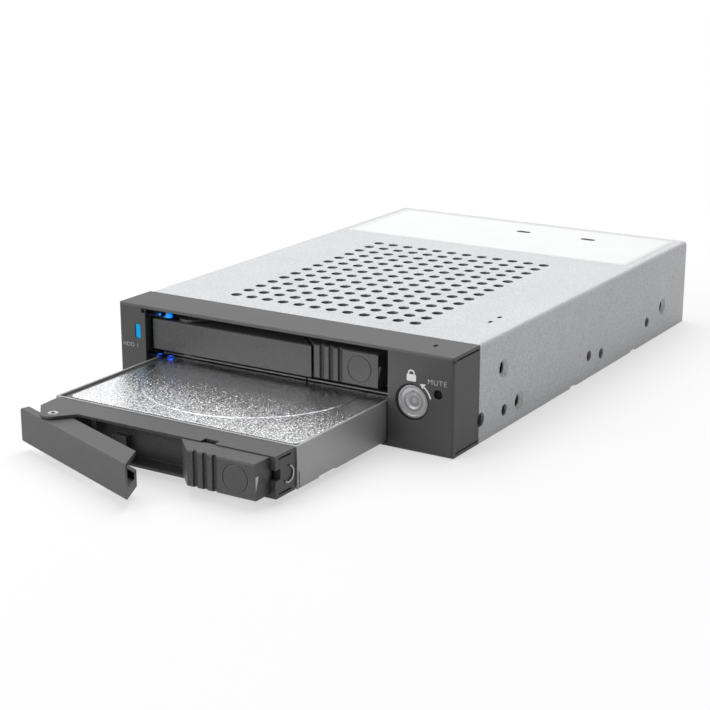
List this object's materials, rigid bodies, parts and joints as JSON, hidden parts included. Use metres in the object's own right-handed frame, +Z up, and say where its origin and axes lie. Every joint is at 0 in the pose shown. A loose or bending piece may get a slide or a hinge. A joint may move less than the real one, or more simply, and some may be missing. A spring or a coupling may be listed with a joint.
{
  "type": "hot swap drive cage",
  "caption": "Slim metal cage for 2.5 inch drives with stacked sliding carriers, cam levers, sliding catches, a round key lock, vented cover and rear data and power ports.",
  "frame": {"origin": "middle of the bezel's front face, at the bottom plane of the cage", "axes": "+X to the right seen from the front, +Y into the cage towards its ports, +Z up"},
  "size_m": [0.1016, 0.2169, 0.0254],
  "materials": {
    "cover_silver": "smooth silver finish with a fine grain",
    "bezel_black": "dark grey satin paint on sheet",
    "zinc_sheet": "plain zinc coated sheet",
    "tray_metal": "plain zinc coated sheet",
    "carrier_black": "moulded, satin",
    "lever_black": "moulded, satin",
    "latch_black": "moulded, satin",
    "pin_steel": "bright steel",
    "spring_steel": "spring steel",
    "drive_alloy": "cast, plain",
    "drive_lid": "pressed stainless sheet",
    "board_green": "solder mask on board",
    "connector_black": "moulded",
    "can_metal": "plain can",
    "lock_chrome": "plated",
    "light_blue": "clear light pipe lit blue",
    "button_black": "moulded"
  },
  "bodies": {
    "cage": {"backplane_board": "board_green", "base_plate": "zinc_sheet", "bezel_screws": "pin_steel", "board_link": "connector_black", "board_posts": "pin_steel", "board_screws": "pin_steel", "buzzer": "connector_black", "capacitors": "can_metal", "control_chips": "connector_black", "data_ports": "connector_black", "front_bezel": "bezel_black", "left_partition": "zinc_sheet", "light_board": "board_green", "light_holder": "carrier_black", "lock_bracket": "zinc_sheet", "lock_housing": "bezel_black", "lock_nut": "lock_chrome", "lower_bay_light": "light_blue", "lower_drive_socket": "connector_black", "lower_light_pipe": "light_blue", "main_board": "board_green", "middle_shelf": "zinc_sheet", "mute_switch": "connector_black", "outer_cover": "cover_silver", "power_port": "connector_black", "rear_panel": "cover_silver", "rear_screws": "pin_steel", "right_partition": "zinc_sheet", "switch_board": "board_green", "upper_bay_light": "light_blue", "upper_drive_socket": "connector_black", "upper_light_pipe": "light_blue"},
    "lower_carrier": {"lower_tray": "tray_metal", "lower_carrier_front": "carrier_black", "lower_lever_pin": "pin_steel", "lower_side_spring": "spring_steel", "lower_front_screws": "pin_steel", "drive_case": "drive_alloy", "drive_cover": "drive_lid", "drive_board": "board_green", "drive_plug": "connector_black", "drive_screws": "pin_steel"},
    "upper_carrier": {"upper_tray": "tray_metal", "upper_carrier_front": "carrier_black", "upper_lever_pin": "pin_steel", "upper_side_spring": "spring_steel", "upper_front_screws": "pin_steel"},
    "lower_lever_body": {"lower_lever": "lever_black"},
    "upper_lever_body": {"upper_lever": "lever_black"},
    "lower_latch_body": {"lower_latch": "latch_black"},
    "upper_latch_body": {"upper_latch": "latch_black"},
    "lock_plug": {"lock_core": "lock_chrome", "lock_cam": "lock_chrome"},
    "lock_bar_body": {"lock_bar": "zinc_sheet"},
    "mute_body": {"mute_button": "button_black"}
  },
  "joints": [
    {"name": "lower_carrier_slide", "type": "slide", "parent": "cage", "child": "lower_carrier", "axis": [0, -1, 0], "range_m": [-0.055, 0.065]},
    {"name": "upper_carrier_slide", "type": "slide", "parent": "cage", "child": "upper_carrier", "axis": [0, -1, 0], "range_m": [0, 0.12]},
    {"name": "lower_lever_hinge", "type": "hinge", "parent": "lower_carrier", "child": "lower_lever_body", "pos_m": [-0.0309, -0.04945, 0.0065], "axis": [0, 0, -1], "range_deg": [-20.6, 15]},
    {"name": "upper_lever_hinge", "type": "hinge", "parent": "upper_carrier", "child": "upper_lever_body", "pos_m": [-0.0309, 0.00555, 0.0175], "axis": [0, 0, -1], "range_deg": [0, 35.6]},
    {"name": "lower_latch_slide", "type": "slide", "parent": "lower_carrier", "child": "lower_latch_body", "axis": [1, 0, 0], "range_m": [-0.0016, 0.0009]},
    {"name": "upper_latch_slide", "type": "slide", "parent": "upper_carrier", "child": "upper_latch_body", "axis": [1, 0, 0], "range_m": [0, 0.0025]},
    {"name": "lock_turn", "type": "hinge", "parent": "cage", "child": "lock_plug", "pos_m": [0.0395, 0.0063, 0.01266], "axis": [0, -1, 0], "range_deg": [0, 90]},
    {"name": "lock_bar_slide", "type": "slide", "parent": "cage", "child": "lock_bar_body", "axis": [-1, 0, 0], "range_m": [0, 0.00311]},
    {"name": "mute_press", "type": "slide", "parent": "cage", "child": "mute_body", "axis": [0, 1, 0], "range_m": [0, 0.0005], "stiffness_N_per_m": 400, "springref_m": -0.0005}
  ],
  "couplings": [
    {"joint": "lock_turn", "follows": "lock_bar_slide", "rad_per_m": 504.87}
  ]
}
